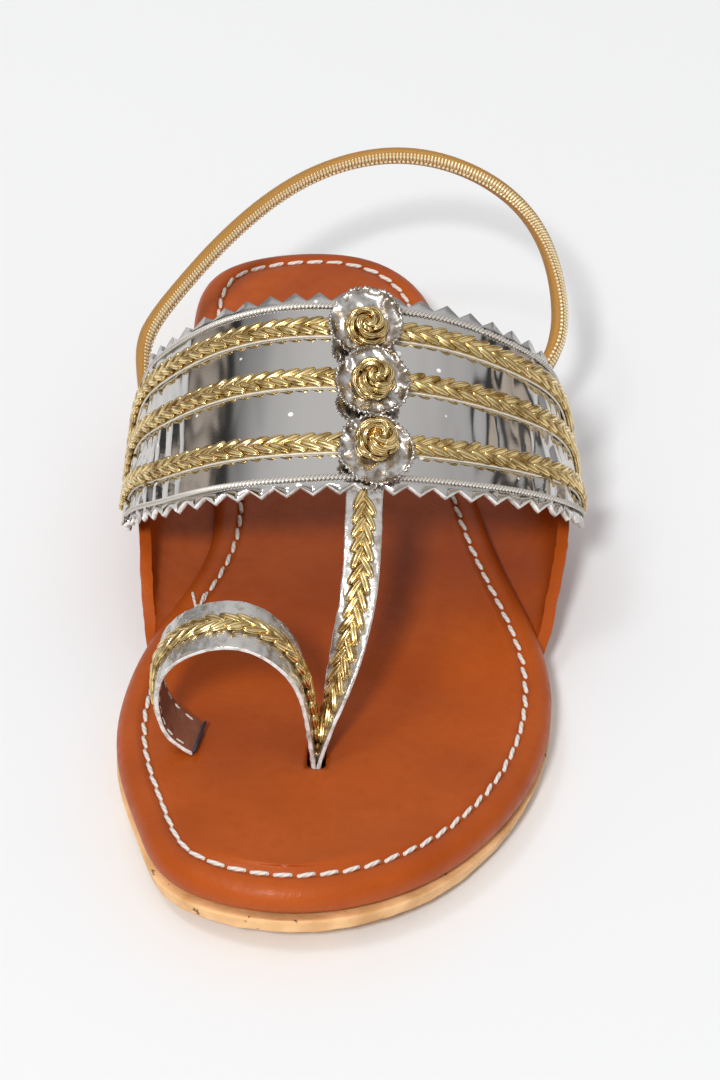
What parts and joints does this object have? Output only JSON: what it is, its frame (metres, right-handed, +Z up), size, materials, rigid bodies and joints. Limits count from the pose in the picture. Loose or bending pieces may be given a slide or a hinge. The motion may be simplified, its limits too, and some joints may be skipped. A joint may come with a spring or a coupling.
{
  "type": "kolhapuri sandal",
  "caption": "Left kolhapuri sandal with a wide pinked instep band, toe ring on a toe strap, braids, rosettes and an elastic heel strap.",
  "frame": {"origin": "middle of the flat spot under the heel, on the floor", "axes": "+Z up, -Y towards the toe along the shoe's length, +X towards the little toe's side"},
  "size_m": [0.1065, 0.248, 0.0796],
  "materials": {
    "sole_rubber": "satin",
    "tan_leather": "satin",
    "silver_foil": "glossy",
    "gold_braid": "glossy",
    "gold_elastic": "satin"
  },
  "bodies": {
    "root": {"outsole": "sole_rubber", "footbed": "tan_leather", "wing_medial": "tan_leather", "wing_lateral": "tan_leather", "upper": "silver_foil", "braid_front": "gold_braid", "braid_middle": "gold_braid", "braid_rear": "gold_braid", "braid_toe_strap": "gold_braid", "braid_toe_ring": "gold_braid", "disc_front": "silver_foil", "disc_middle": "silver_foil", "disc_rear": "silver_foil", "bud_front": "gold_braid", "bud_middle": "gold_braid", "bud_rear": "gold_braid", "heel_strap": "gold_elastic"}
  },
  "joints": []
}
